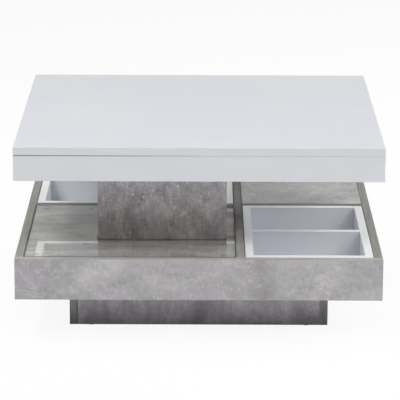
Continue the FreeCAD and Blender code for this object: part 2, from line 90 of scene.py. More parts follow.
# %% Nodes
def finish(name):
    """A new material and its main shader."""
    material = bpy.data.materials.new(name)
    material.use_nodes = True
    return material, material.node_tree.nodes["Principled BSDF"]


def plug(material, socket, value):
    """Links another node's output to a socket, or sets a plain value on it."""
    if isinstance(value, bpy.types.NodeSocket):
        material.node_tree.links.new(value, socket)
    else:
        socket.default_value = value


def add(material, kind, settings=None, **inputs):
    """Adds a shader node, with its settings and its inputs by name."""
    node = material.node_tree.nodes.new("ShaderNode" + kind)
    for key, value in (settings or {}).items():
        setattr(node, key, value)
    for key, value in inputs.items():
        plug(material, node.inputs[key.replace("_", " ")], value)
    return node


def sums(material, operation, first, second=0.0):
    """One step of arithmetic on two values."""
    node = add(material, "Math", {"operation": operation})
    plug(material, node.inputs[0], first)
    plug(material, node.inputs[1], second)
    return node.outputs[0]


print("helpers made: finish, plug, add, sums")

# %% [markdown]
# A pattern is a noise in the piece's own coordinates. They are in metres, so a noise scale of 10
# makes patches of about 10 centimetres. A noise seldom leaves the span from 0.3 to 0.7, so that span
# is stretched to the one that a finish needs: colours, a roughness or a relief.

# %% Patterns and colours
NOISE_LOW, NOISE_HIGH = 0.3, 0.7


def place(material, stretch=(1, 1, 1), shift=(0, 0, 0), turn=(0, 0, 0)):
    """The piece's own coordinates, stretched, turned and moved for one pattern."""
    where = add(material, "TexCoord").outputs["Object"]
    mapping = add(material, "Mapping", Vector=where, Scale=stretch, Location=shift, Rotation=turn)
    return mapping.outputs["Vector"]


def noise(material, where, scale, detail=3.0, roughness=0.5, distortion=0.0):
    """A cloudy pattern from 0 to 1."""
    texture = add(material, "TexNoise", Vector=where, Scale=scale, Detail=detail)
    plug(material, texture.inputs["Roughness"], roughness)
    plug(material, texture.inputs["Distortion"], distortion)
    return texture.outputs[0]


def between(material, value, low, high, start=NOISE_LOW, stop=NOISE_HIGH):
    """Maps a pattern from its usual span to a span of the finish."""
    span = add(material, "MapRange", Value=value, From_Min=start, From_Max=stop, To_Min=low, To_Max=high)
    return span.outputs["Result"]


def mix(material, factor, first, second, kind="MIX"):
    """Mixes two colours."""
    node = add(material, "Mix", {"data_type": "RGBA", "blend_type": kind})
    plug(material, node.inputs[0], factor)
    plug(material, node.inputs[6], first)
    plug(material, node.inputs[7], second)
    return node.outputs[2]


def ramp(material, value, *stops):
    """Colours along a pattern, as (position, colour) pairs."""
    node = add(material, "ValToRGB", Fac=value)
    elements = node.color_ramp.elements
    while len(elements) < len(stops):
        elements.new(0.5)
    for element, (position, colour) in zip(elements, stops):
        element.position = position
        element.color = (*colour, 1)
    return node.outputs["Color"]


def shade(material, colour, pattern, low, high):
    """Darkens and lightens a colour by a pattern."""
    level = between(material, pattern, low, high)
    grey = add(material, "CombineColor", Red=level, Green=level, Blue=level).outputs["Color"]
    return mix(material, 1.0, colour, grey, "MULTIPLY")


def bump(material, shader, height, strength, distance):
    """Fine relief on a surface, from a pattern used as height in metres."""
    node = add(material, "Bump", Height=height, Strength=strength, Distance=distance)
    plug(material, shader.inputs["Normal"], node.outputs["Normal"])


print("helpers made: place, noise, between, mix, ramp, shade, bump")

# %% [markdown]
# A board shows its decor on two faces and its banding on the narrow edges. The boards are boxes that
# lie square to the axes, so the direction in which a face looks tells the two apart. Finishes go on
# the CAD nodes by name.

# %% Faces and edges
FACE_ON = 0.9  # a face looks along an axis from here on


def facing(material, axis):
    """How much a face looks along an axis, from -1 to 1."""
    normal = add(material, "TexCoord").outputs["Normal"]
    return add(material, "SeparateXYZ", Vector=normal).outputs[axis]


def along(material, axis):
    """The place on one axis, in metres."""
    where = add(material, "TexCoord").outputs["Object"]
    return add(material, "SeparateXYZ", Vector=where).outputs[axis]


def narrow_edges(material, axis):
    """1 on the narrow edges of a board, 0 on its two faces that look along the axis."""
    return sums(material, "LESS_THAN", sums(material, "ABSOLUTE", facing(material, axis)), FACE_ON)


def tinted(colour, tone):
    """A colour times a tone, channel by channel."""
    return tuple(c * t for c, t in zip(colour, tone))


def dress(material, *names):
    """Gives a finish to CAD nodes."""
    for name in names:
        for slot in nodes[name].material_slots:
            slot.material = material
    print(material.name, "on", len(names), "nodes")


print("helpers made: facing, along, narrow_edges, tinted, dress")

# %% [markdown]
# ## Concrete decor
# The tray, column and plinth are boards with a printed concrete decor: broad pale clouds, a
# trowel's strokes, thin pale veins, a fine woven mottling that is worn away in places, and patches of
# light flecks. A photo of a decor could be wrapped on the boards, but layered noise has no seams and
# follows every board, so each of these layers is one noise that darkens or lightens the one before.

# %% Printed decor
LIGHT_CONCRETE = (0.62, 0.615, 0.61)
MIDDLE_CONCRETE = (0.50, 0.49, 0.492)
DARK_CONCRETE = (0.385, 0.372, 0.378)
PURPLE_CONCRETE = (0.485, 0.458, 0.492)
CLOUD_SCALE = 4.0
PURPLE_SCALE = 9.0
VEIN_SCALE = 9.0
VEIN_WIDTH = 0.022  # as a span of the noise round its middle
VEIN_TURN = (0.5, 0.7, 0.5)  # radians
WEAR_SCALE = 30.0
LEAST_WEAVE = 0.35  # share of the weave that is left where it is worn
FLECK_SCALE = 100.0
FLECK_SQUASH = (1, 1, 0.7)
FLECK_RIM = (0.08, 0.27)  # from full to faded, in cells
FLECK_COLOUR = (0.86, 0.85, 0.84)
PATCH_SCALE = 34.0
PATCH_RIM = (0.42, 0.60)


def decor(material, shift, tone, strokes, depth, mottle, grain, thread, veins, purple, flecks):
    """Colour of the printed face: strokes and grain are scales, thread is how far the grain runs."""
    here = place(material, shift=shift)
    dark, middle, light = (tinted(c, tone) for c in (DARK_CONCRETE, MIDDLE_CONCRETE, LIGHT_CONCRETE))
    clouds = noise(material, here, CLOUD_SCALE, 8.0, 0.55, 1.2)
    colour = ramp(material, clouds, (0.33, dark), (0.50, middle), (0.67, light))
    tint = between(material, noise(material, here, PURPLE_SCALE, 2.0), 0.0, purple)
    colour = mix(material, tint, colour, (*tinted(PURPLE_CONCRETE, tone), 1))
    lines = noise(material, place(material, shift=shift, turn=VEIN_TURN), VEIN_SCALE, 6.0, 0.62, 1.6)
    off_line = sums(material, "ABSOLUTE", sums(material, "SUBTRACT", lines, 0.5))
    vein = between(material, off_line, veins, 0.0, 0.0, VEIN_WIDTH)
    colour = mix(material, vein, colour, (*light, 1))
    trowel = noise(material, place(material, strokes, shift), 1.0, 5.0, 0.65, 1.0)
    colour = shade(material, colour, trowel, 1.0 - depth, 1.0 + depth)
    woven = colour
    for stretch in ((grain, grain, thread * grain), (thread * grain, thread * grain, grain)):
        fine = noise(material, place(material, stretch, shift), 1.0, 4.0, 0.7)
        woven = shade(material, woven, fine, 1.0 - mottle, 1.0 + mottle)
    weave = between(material, noise(material, here, WEAR_SCALE, 4.0, 0.6), LEAST_WEAVE, 1.0)
    colour = mix(material, weave, colour, woven)
    specks = add(material, "TexVoronoi", Vector=place(material, FLECK_SQUASH, shift), Scale=FLECK_SCALE)
    fleck = between(material, specks.outputs["Distance"], flecks, 0.0, *FLECK_RIM)
    patch = between(material, noise(material, here, PATCH_SCALE, 3.0), 0.0, 1.0, *PATCH_RIM)
    shown = sums(material, "MULTIPLY", fleck, patch)
    return mix(material, shown, colour, (*tinted(FLECK_COLOUR, tone), 1))


print("flecks about", round(1000 / FLECK_SCALE), "mm apart, clouds", round(1000 / CLOUD_SCALE), "mm")

# %% [markdown]
# The narrow edges are banded in a plainer olive grey, with streaks along the board. A streak is a
# noise that is squeezed across the board and drawn out along it. The band of the long divider has
# clouds of painted shade and painted light: it is dark in the middle of the table as painted shade,
# and pale at its near end as painted light.

# %% Banding
OLIVE_BAND = (0.43, 0.422, 0.395)
OLIVE_BAND_DARK = (0.32, 0.313, 0.288)
STREAKS = (240.0, 7.0)  # noise scale across and along the board
BAND_CLOUD_SCALE = 4.0
AXES = {"X": 0, "Y": 1, "Z": 2}


def drawn_out(axis, across, length):
    """Scales of a pattern that runs along one axis."""
    stretch = [across, across, across]
    stretch[AXES[axis]] = length
    return stretch


def banding(material, shift, axis, tone, painted_shading):
    """Colour of the banded edges along an axis, with clouds of painted shade and light as deep as the last
    argument.
    """
    streaks = noise(material, place(material, drawn_out(axis, *STREAKS), shift), 1.0, 4.0, 0.6)
    dark, pale = tinted(OLIVE_BAND_DARK, tone), tinted(OLIVE_BAND, tone)
    colour = ramp(material, streaks, (0.38, dark), (0.62, pale))
    # painted shade and painted light, laid on the band as clouds
    if painted_shading:
        clouds = noise(material, place(material, shift=shift), BAND_CLOUD_SCALE, 2.0)
        colour = shade(material, colour, clouds, 1.0 - painted_shading, 1.0 + painted_shading)
    return colour


print("streaks about", round(1000 / STREAKS[1]), "mm long and", round(1000 / STREAKS[0]), "mm wide")

# %% [markdown]
# A finished board has both, by the way its faces look. The column and the plinth get darker towards
# their foot, along a line that wanders with a noise: this is painted shade, and on the column also a
# browner tone of its decor. Where the column goes down through the glass, a fine line of shade lies
# round it. The surface is dull, with a changing sheen and fine pores.

# %% Concrete finish
PLAIN = (1.0, 1.0, 1.0)
FOOT_SWAY = 0.3  # share of a foot's height by which its line wanders
FOOT_SCALE = 20.0
SEAT_SHADE = (0.42, 0.40, 0.38)
SEAT_REACH = 0.0026  # metres
CONCRETE_ROUGHNESS = (0.46, 0.62)
SHEEN_SCALE = 30.0
PORE_SCALE = 520.0
PORE_DEPTH = 0.0002  # metres


def concrete(name, face, band, shift, tone=PLAIN, band_tone=PLAIN, strokes=(7, 7, 11), depth=0.12,
             mottle=0.12, grain=200.0, thread=0.45, veins=0.55, purple=0.55, flecks=0.35, painted_shading=0.0,
             foot=None, seat=None):
    """Decor on the faces along one axis, and banding on the edges, streaked along another.

    A foot darkens a board downwards as painted shade, and a seat is the level where a line of shade lies
    round it.
    """
    material, shader = finish(name)
    colour = decor(material, shift, tone, strokes, depth, mottle, grain, thread, veins, purple, flecks)
    edge = banding(material, shift, band, band_tone, painted_shading)
    colour = mix(material, narrow_edges(material, face), colour, edge)
    # painted shade: the foot darkens the board downwards, and on the column adds a browner decor tone
    if foot:
        low, high, painted_foot_shade = foot
        sway = FOOT_SWAY * (high - low)
        drift = noise(material, place(material, shift=shift), FOOT_SCALE, 5.0, 0.6)
        level = sums(material, "ADD", along(material, "Z"), between(material, drift, -sway, sway))
        rise = between(material, level, 0.0, 1.0, low, high)
        painted_shade_ramp = ramp(material, rise, (0.0, painted_foot_shade), (1.0, PLAIN))
        colour = mix(material, 1.0, colour, painted_shade_ramp, "MULTIPLY")
    if seat:
        line = between(material, along(material, "Z"), 0.0, 1.0, seat, seat + SEAT_REACH)
        painted_shade_ramp = ramp(material, line, (0.3, SEAT_SHADE), (1.0, PLAIN))
        colour = mix(material, 1.0, colour, painted_shade_ramp, "MULTIPLY")
    plug(material, shader.inputs["Base Color"], colour)
    sheen = noise(material, place(material, shift=shift), SHEEN_SCALE, 4.0)
    plug(material, shader.inputs["Roughness"], between(material, sheen, *CONCRETE_ROUGHNESS))
    bump(material, shader, noise(material, place(material), PORE_SCALE, 3.0), 0.25, PORE_DEPTH)
    return material


print("line of shade round the column:", round(1000 * SEAT_REACH, 1), "mm high")

# %% [markdown]
# The same decor shows in several tones: pale on the tray, brown towards the foot of the column, where
# painted shade darkens it too, purple grey with upright streaks on the plinth, and an olive floor under
# the glass. How bright each tone is, is partly painted light and shade, set against the light that the
# boards get: the column, the plinth and the floor under the glass are made paler as painted light, and
# the bands of the dividers darker as painted shade. Each group of boards has its own tone and its own
# place in the noise, so no two match.

# %% Concrete boards
# painted light and shade: these tones are set against the light that each group of boards gets
TRAY_TONE = (0.885, 0.885, 0.89)
TRAY_LOOK = {"tone": TRAY_TONE, "band_tone": (1.12, 1.11, 1.10), "depth": 0.17}
TRAY_SIDE_LOOK = {**TRAY_LOOK, "band_tone": (0.83, 0.83, 0.82)}
CROSS_DIVIDER_LOOK = {"tone": TRAY_TONE, "band_tone": (0.58, 0.58, 0.56)}
# the long divider's band: painted shade in the middle, painted light at its near end
LONG_DIVIDER_LOOK = {**CROSS_DIVIDER_LOOK, "painted_shading": 0.9}
COLUMN_TONE = (1.165, 1.155, 1.175)
# painted shade at the foot of the column, mixed with a browner tone of its decor
COLUMN_LOOK = {
    "tone": COLUMN_TONE, "band_tone": COLUMN_TONE, "strokes": (26, 26, 15), "depth": 0.34,
    "mottle": 0.36, "grain": 420.0, "thread": 0.16, "veins": 0.25, "purple": 0.8, "flecks": 1.0,
    "foot": (0.130, 0.290, (0.62, 0.57, 0.51)), "seat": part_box("glass_plate")[1][2],
}
# painted shade at the foot of the plinth
BASE_LOOK = {
    "tone": (1.09, 1.075, 1.115), "band_tone": (0.86, 0.86, 0.87), "strokes": (18, 18, 3), "depth": 0.28,
    "mottle": 0.15, "veins": 0.45, "purple": 0.8, "flecks": 0.25, "foot": (0.0, 0.07, (0.44, 0.44, 0.44)),
}
GLASS_FLOOR_LOOK = {
    "tone": (1.17, 1.145, 1.10), "strokes": (6, 22, 10), "depth": 0.40, "mottle": 0.20, "grain": 150.0,
    "veins": 0.4, "purple": 0.1,
}
BARE_PANEL_LOOK = {
    "tone": (0.965, 0.965, 0.95), "strokes": (10, 11, 10), "depth": 0.20, "mottle": 0.15, "veins": 0.7,
    "purple": 0.2,
}
CONCRETE_BOARDS = (
    # finish, axis of the faces, axis of the bands, place in the noise, look, boards
    ("tray_fronts", "Y", "X", (0.3, 1.7, 0.2), TRAY_LOOK, ("tray_front", "tray_back")),
    ("tray_sides", "X", "Y", (2.1, 0.4, 5.3), TRAY_SIDE_LOOK, ("tray_left", "tray_right")),
    ("cross_divider", "Y", "X", (3.7, 1.2, 6.4), CROSS_DIVIDER_LOOK, ("cross_divider",)),
    ("long_divider", "X", "Y", (6.4, 2.9, 7.6), LONG_DIVIDER_LOOK, ("long_divider",)),
    ("column_fronts", "Y", "Z", (7.4, 3.2, 1.1), COLUMN_LOOK, ("column_front", "column_back")),
    ("column_sides", "X", "Z", (4.6, 8.8, 2.7), COLUMN_LOOK, ("column_left", "column_right")),
    ("base_fronts", "Y", "Z", (1.4, 5.2, 9.1), BASE_LOOK, ("base_front", "base_back")),
    ("base_sides", "X", "Z", (8.6, 0.8, 4.7), BASE_LOOK, ("base_left", "base_right")),
    ("glass_floor", "Z", "X", (9.5, 6.1, 3.9), GLASS_FLOOR_LOOK, ("front_panel",)),
    ("bare_panel", "Z", "X", (6.5, 4.1, 2.9), BARE_PANEL_LOOK, ("rear_panel",)),
    ("tray_floor", "Z", "X", (2.5, 7.1, 8.9), {}, ("tray_bottom",)),
)
for name, face, band, shift, look, boards in CONCRETE_BOARDS:
    dress(concrete("concrete_" + name, face, band, shift, **look), *boards)

# %% [markdown]
# ## White melamine
# Top, apron and boxes are white melamine boards. White is never one flat value: the sheet has a
# faint cloudiness, its pressed surface a soft orange peel that breaks up reflections, and the banding
# on its edges is a slightly cooler grey. Each is one low-contrast noise. The underside of the top and
# of its apron is painted a brighter white than the faces, as painted light that makes up for the shade
# under the top, and the glass below mirrors it. Where the top panel lies on the apron, the fine joint
# gathers shade at the left of the front and closes up towards the right, so the chamfers of that joint
# darken by their place along the board.

# %% White finish
WHITE_FACE = (0.725, 0.735, 0.77)
WHITE_FACE_SHADE = (0.705, 0.715, 0.755)
WHITE_BAND = (0.705, 0.72, 0.735)
SHEET_SCALE = 4.0
MELAMINE_ROUGHNESS = (0.34, 0.44)
GLOSS_SCALE = 22.0
PEEL_SCALE = 380.0
PEEL_DEPTH = 0.0001  # metres
JOINT_DARK = (0.06, 0.06, 0.07, 1)
JOINT_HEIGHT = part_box("top_panel")[0][2]
JOINT_REACH = 0.0009  # metres above and below the joint
JOINT_SPAN = (-0.16, 0.03)  # metres along the front, from open to closed
JOINT_LEFT_OVER = 0.12  # share of the shade where the joint is closed
CHAMFER_SLOPES = (0.3, 0.9)  # how much a chamfer looks up or down


def joint_shade(material):
    """1 in the open part of the joint under the top panel, fading along the front."""
    slope = sums(material, "ABSOLUTE", facing(material, "Z"))
    not_upright = sums(material, "GREATER_THAN", slope, CHAMFER_SLOPES[0])
    not_level = sums(material, "LESS_THAN", slope, CHAMFER_SLOPES[1])
    chamfer = sums(material, "MULTIPLY", not_upright, not_level)
    away = sums(material, "ABSOLUTE", sums(material, "SUBTRACT", along(material, "Z"), JOINT_HEIGHT))
    near = sums(material, "LESS_THAN", away, JOINT_REACH)
    open_part = between(material, along(material, "X"), 1.0, JOINT_LEFT_OVER, *JOINT_SPAN)
    return sums(material, "MULTIPLY", sums(material, "MULTIPLY", chamfer, near), open_part)


def melamine(name, face, tone=PLAIN, band=WHITE_BAND, under=None):
    """White melamine on the faces along one axis, with white banding on the edges.

    The boards of the top have a brighter colour for their underside, as painted light, and shade in the
    joint between them.
    """
    material, shader = finish(name)
    clouds = noise(material, place(material), SHEET_SCALE, 3.0)
    sheet = ramp(material, clouds, (0.35, tinted(WHITE_FACE_SHADE, tone)), (0.65, tinted(WHITE_FACE, tone)))
    colour = mix(material, narrow_edges(material, face), sheet, (*band, 1))
    if under:
        # painted light: the underside is a brighter white than the faces, to make up for the shade under
        # the top
        below = sums(material, "LESS_THAN", facing(material, "Z"), -FACE_ON)
        colour = mix(material, below, colour, (*under, 1))
        colour = mix(material, joint_shade(material), colour, JOINT_DARK)
    plug(material, shader.inputs["Base Color"], colour)
    gloss = noise(material, place(material), GLOSS_SCALE, 3.0)
    plug(material, shader.inputs["Roughness"], between(material, gloss, *MELAMINE_ROUGHNESS))
    bump(material, shader, noise(material, place(material), PEEL_SCALE, 1.0), 0.12, PEEL_DEPTH)
    return material


print("joint under the top panel at", round(JOINT_HEIGHT, 4), "m")

# %% [markdown]
# The tones of the whites are painted light and shade: the top is a trace darker than the apron, as
# painted shade, and the boxes are the brightest, as painted light, because their insides stay in the
# shade of the top.

# %% White boards
# painted light and shade: white tones set against the light that each group of boards gets
TOP_TONE = (0.96, 0.96, 0.96)
# painted light: the undersides are brighter than the faces
TOP_UNDERSIDE_PAINTED_LIGHT = (0.89, 0.90, 0.92)
APRON_TONE = (0.97, 0.97, 0.97)
APRON_UNDERSIDE_PAINTED_LIGHT = (0.93, 0.94, 0.95)
# painted light: the boxes and their rims are brighter to make up for the shade of the top
BOX_PAINTED_LIGHT_TONE = (1.175, 1.18, 1.18)
BOX_RIM_PAINTED_LIGHT = (0.935, 0.94, 0.945)


def box_walls(*sides):
    """The walls of both lift-out boxes on the sides named."""
    return [box + "_insert_" + side + "_wall" for box in ("front", "rear") for side in sides]


white_top = melamine("white_top", "Z", TOP_TONE, tinted(WHITE_BAND, TOP_TONE), TOP_UNDERSIDE_PAINTED_LIGHT)
apron_fronts = melamine("white_apron_fronts", "Y", APRON_TONE, under=APRON_UNDERSIDE_PAINTED_LIGHT)
apron_sides = melamine("white_apron_sides", "X", APRON_TONE, under=APRON_UNDERSIDE_PAINTED_LIGHT)
box_fronts = melamine("white_box_fronts", "Y", BOX_PAINTED_LIGHT_TONE, BOX_RIM_PAINTED_LIGHT)
box_sides = melamine("white_box_sides", "X", BOX_PAINTED_LIGHT_TONE, BOX_RIM_PAINTED_LIGHT)
dress(white_top, "top_panel")
dress(apron_fronts, "apron_front", "apron_back")
dress(apron_sides, "apron_left", "apron_right")
dress(box_fronts, *box_walls("front", "back"), "front_insert_divider")
dress(box_sides, *box_walls("left", "right"), "rear_insert_divider")

# %% [markdown]
# The bottoms of the boxes are thin hardboard, lacquered white inside. Their underside is bare brown
# fibre with the mesh mark of the press, so the finish asks which way a face looks.

# %% Hardboard bottoms
FIBRE = (0.36, 0.24, 0.15)
FIBRE_DARK = (0.25, 0.16, 0.10)
LACQUER_ROUGHNESS, FIBRE_ROUGHNESS = 0.42, 0.85
STRAND_SCALE = 160.0
MESH_SCALE = 600.0


def hardboard(name):
    """White lacquer on the faces that look up, bare fibre on all others."""
    material, shader = finish(name)
    clouds = noise(material, place(material), 6.0, 3.0)
    # painted light: the brighter lacquer inside the boxes, as on their walls
    lacquer = ramp(material, clouds, (0.35, WHITE_FACE), (0.65, tinted(WHITE_FACE, BOX_PAINTED_LIGHT_TONE)))
    strands = noise(material, place(material), STRAND_SCALE, 4.0, 0.7)
    fibre = ramp(material, strands, (0.35, FIBRE_DARK), (0.65, FIBRE))
    bare = sums(material, "LESS_THAN", facing(material, "Z"), 0.5)
    plug(material, shader.inputs["Base Color"], mix(material, bare, lacquer, fibre))
    roughness = between(material, bare, LACQUER_ROUGHNESS, FIBRE_ROUGHNESS, 0.0, 1.0)
    plug(material, shader.inputs["Roughness"], roughness)
    mesh_mark = add(material, "TexVoronoi", Vector=place(material), Scale=MESH_SCALE).outputs["Distance"]
    bump(material, shader, mesh_mark, 0.2, 0.0001)
    return material


dress(hardboard("white_hardboard"), "front_insert_bottom", "rear_insert_bottom")

# %% [markdown]
# ## Glass
# A clear glass plate covers the front left of the tray. It shows the decor below and, seen at a
# low angle, mirrors the underside of the top. Real glass lets lamp light through to the board below,
# so for shadow rays the shader turns transparent instead of leaving a black shadow. The ground edges
# are greener, because there one looks along the glass. The pads below it are clear silicone drops.

# %% Glass plate and its pads
GLASS_TINT = (0.975, 0.985, 0.978, 1)
GLASS_EDGE = (0.82, 0.93, 0.89, 1)
GLASS_INDEX = 1.5
SMEAR_SCALE = 18.0
SMEAR_ROUGHNESS = 0.012
SILICONE = ((0.3, (0.55, 0.55, 0.54)), (0.7, (0.62, 0.62, 0.61)))
SILICONE_ALPHA = 0.18
HAZE_SCALE = 900.0


def clear_glass(name):
    """Glass with faint smears, which lets the lamps' light through."""
    material, shader = finish(name)
    colour = mix(material, narrow_edges(material, "Z"), GLASS_TINT, GLASS_EDGE)
    plug(material, shader.inputs["Base Color"], colour)
    shader.inputs["Transmission Weight"].default_value = 1.0
    shader.inputs["IOR"].default_value = GLASS_INDEX
    smears = noise(material, place(material), SMEAR_SCALE, 4.0)
    plug(material, shader.inputs["Roughness"], between(material, smears, 0.0, SMEAR_ROUGHNESS))
    clear = add(material, "BsdfTransparent", Color=GLASS_TINT)
    shadow = add(material, "LightPath").outputs["Is Shadow Ray"]
    both = add(material, "MixShader", Fac=shadow)
    plug(material, both.inputs[1], shader.outputs[0])
    plug(material, both.inputs[2], clear.outputs[0])
    plug(material, material.node_tree.nodes["Material Output"].inputs["Surface"], both.outputs[0])
    return material


def silicone(name):
    """Hazy drops that are hardly seen under the glass."""
    material, shader = finish(name)
    haze = noise(material, place(material), HAZE_SCALE, 2.0)
    plug(material, shader.inputs["Base Color"], ramp(material, haze, *SILICONE))
    plug(material, shader.inputs["Roughness"], between(material, haze, 0.25, 0.4))
    shader.inputs["Alpha"].default_value = SILICONE_ALPHA
    return material


dress(clear_glass("clear_glass"), "glass_plate")
dress(silicone("clear_silicone"), "glass_pads")

# %% [markdown]
# ## Chipboard and beech
# Inside, the column has a cap and a foot of bare chipboard: pressed flakes of pale and brown wood.
# The cleats and corner blocks are planed beech, a pale pinkish wood with short dark flecks along the
# grain. Flakes are cells of a Voronoi pattern, grain is noise stretched along the piece. The blocks
# under the top are washed with white, because the glass below mirrors them.

# %% Bare wood
FLAKES = ((0.30, (0.42, 0.30, 0.19)), (0.55, (0.60, 0.46, 0.31)), (0.80, (0.72, 0.58, 0.42)))
FLAKE_SCALE = 190.0
FLAKE_SQUASH = (1, 2.2, 3)
BEECH_PALE = (0.70, 0.58, 0.44)
BEECH_DARK = (0.58, 0.46, 0.33)
BEECH_FLECK = (0.40, 0.28, 0.18, 1)
GRAIN = (150.0, 7.0)  # noise scale across and along the piece
SHORT_FLECKS = (900.0, 160.0)
WHITEWASH = (0.76, 0.77, 0.78, 1)
WASH_DEPTH = 0.8


def chipboard(name):
    """Pressed flakes, each cell with a tone of its own."""
    material, shader = finish(name)
    cells = add(material, "TexVoronoi", Vector=place(material, FLAKE_SQUASH), Scale=FLAKE_SCALE)
    tone = add(material, "SeparateColor", Color=cells.outputs["Color"]).outputs["Red"]
    colour = ramp(material, tone, *FLAKES)
    colour = shade(material, colour, noise(material, place(material), 700.0, 3.0), 0.85, 1.1)
    plug(material, shader.inputs["Base Color"], colour)
    shader.inputs["Roughness"].default_value = 0.85
    bump(material, shader, cells.outputs["Distance"], 0.3, 0.0003)
    return material


def beech(name, axis, wash=0.0):
    """Planed beech with the grain along one axis, bare or washed with white."""
    material, shader = finish(name)
    years = noise(material, place(material, drawn_out(axis, *GRAIN)), 1.0, 4.0, 0.55, 0.4)
    colour = ramp(material, years, (0.30, BEECH_DARK), (0.65, BEECH_PALE))
    short = noise(material, place(material, drawn_out(axis, *SHORT_FLECKS)), 1.0, 1.0)
    colour = mix(material, between(material, short, 0.0, 0.5, 0.62, 0.72), colour, BEECH_FLECK)
    if wash:
        colour = mix(material, between(material, years, 1.1 * wash, 0.9 * wash), colour, WHITEWASH)
    plug(material, shader.inputs["Base Color"], colour)
    plug(material, shader.inputs["Roughness"], between(material, years, 0.5, 0.65))
    bump(material, shader, years, 0.15, 0.0002)
    return material


beech_across = beech("beech_X", "X")
dress(chipboard("bare_chipboard"), "column_cap", "column_foot")
dress(beech_across, "front_panel_cleats", "rear_panel_cleats")
dress(beech("beech_Z", "Z"), "base_corner_blocks")
dress(beech("beech_washed", "Z", WASH_DEPTH), "top_corner_blocks")

# %% [markdown]
# ## Metal and plastic
# The bearing's plates are pressed steel with a zinc coat, which crystallises in dull spangles. The
# balls are polished, the cage is milky nylon, the cams are rough zinc castings, and the glides are
# moulded plastic with a fine grain.

# %% Bearing and fittings
def metal(name, pale, dark, rough, pattern_scale, relief):
    """Bare or plated metal, with spangles of one size and a roughness span."""
    material, shader = finish(name)
    cells = add(material, "TexVoronoi", Vector=place(material), Scale=pattern_scale)
    spangle = add(material, "SeparateColor", Color=cells.outputs["Color"]).outputs["Red"]
    plug(material, shader.inputs["Base Color"], ramp(material, spangle, (0.2, dark), (0.8, pale)))
    shader.inputs["Metallic"].default_value = 1.0
    plug(material, shader.inputs["Roughness"], between(material, spangle, *rough, 0.0, 1.0))
    bump(material, shader, noise(material, place(material), 2.0 * pattern_scale, 3.0), relief, 0.0001)
    return material


def plastic(name, pale, dark, rough):
    """Moulded plastic with a faint flow pattern and a fine grain."""
    material, shader = finish(name)
    flow = noise(material, place(material), 60.0, 4.0, 0.6, 0.6)
    plug(material, shader.inputs["Base Color"], ramp(material, flow, (0.3, dark), (0.7, pale)))
    plug(material, shader.inputs["Roughness"], between(material, flow, *rough))
    bump(material, shader, noise(material, place(material), 1500.0, 2.0), 0.2, 0.0001)
    return material


zinc_plate = metal("zinc_plate", (0.70, 0.71, 0.72), (0.58, 0.59, 0.61), (0.28, 0.42), 220.0, 0.06)
polished_steel = metal("polished_steel", (0.78, 0.78, 0.79), (0.74, 0.74, 0.75), (0.06, 0.12), 500.0, 0.02)
screw_zinc = metal("screw_zinc", (0.74, 0.71, 0.64), (0.62, 0.60, 0.55), (0.25, 0.40), 900.0, 0.05)
zinc_casting = metal("zinc_casting", (0.60, 0.60, 0.61), (0.48, 0.48, 0.49), (0.42, 0.58), 1100.0, 0.25)
milky_nylon = plastic("milky_nylon", (0.80, 0.79, 0.74), (0.74, 0.73, 0.68), (0.38, 0.5))
glide_plastic = plastic("glide_plastic", (0.09, 0.09, 0.09), (0.06, 0.06, 0.06), (0.5, 0.62))
dress(zinc_plate, "lower_swivel_plate", "upper_swivel_plate")
dress(polished_steel, "bearing_balls")
dress(milky_nylon, "ball_cage")
dress(glide_plastic, "floor_glides")

# %% [markdown]
# ## Screws, dowels and cams
# The CAD model keeps its fasteners as plain rods. Here each kind is modelled once, and the copies go
# to the places that the CAD model gives them. A place is found from the solids of a CAD node, which
# are the groups of triangles that share points.

# %% Places of the fasteners
BODY_OF = {name: body for body, names in frame["record"]["behaviour"]["bodies"].items() for name in names}


def solids(name):
    """The separate solids of a CAD node, each as a list of its points."""
    mesh = nodes[name].data
    leader = {}

    def first(point):
        while leader[point] != point:
            leader[point] = leader[leader[point]]
            point = leader[point]
        return point

    for face in mesh.polygons:
        points = [tuple(round(c, 5) for c in mesh.vertices[v].co) for v in face.vertices]
        for point in points:
            leader.setdefault(point, point)
        for point in points[1:]:
            leader[first(point)] = first(points[0])
    groups = {}
    for point in leader:
        groups.setdefault(first(point), []).append(Vector(point))
    return list(groups.values())


def box_of(points):
    """The lowest and highest corner of some points."""
    low = Vector([min(p[i] for p in points) for i in range(3)])
    high = Vector([max(p[i] for p in points) for i in range(3)])
    return low, high


def rod_place(points):
    """Middle, long axis and length of a rod; the axis points to the end that is thicker, if one is."""
    low, high = box_of(points)
    size, middle = high - low, (low + high) / 2
    axis = max(range(3), key=lambda i: size[i])
    across = [i for i in range(3) if i != axis]
    radii = [math.hypot(*(p[i] - middle[i] for i in across)) for p in points]
    rim = [p[axis] - middle[axis] for p, r in zip(points, radii) if r > 0.9 * max(radii)]
    way = Vector((0, 0, 0))
    way[axis] = 1.0 if sum(rim) >= 0 else -1.0
    return middle, way, size[axis]


print("dowels in the tray:", len(solids("tray_dowels")), "cams:", len(solids("cam_locks")))

# %% [markdown]
# Screws, dowels, cams and bolts are round, so each is modelled as on a lathe: a small disc is extruded
# ring by ring, and each ring is scaled to the next radius. Spinning an outline would do as well, but
# leaves doubled points at the axis. A driver's cross and a bolt's channel are cut out afterwards.

# %% Turning and cutting
MM = 0.001


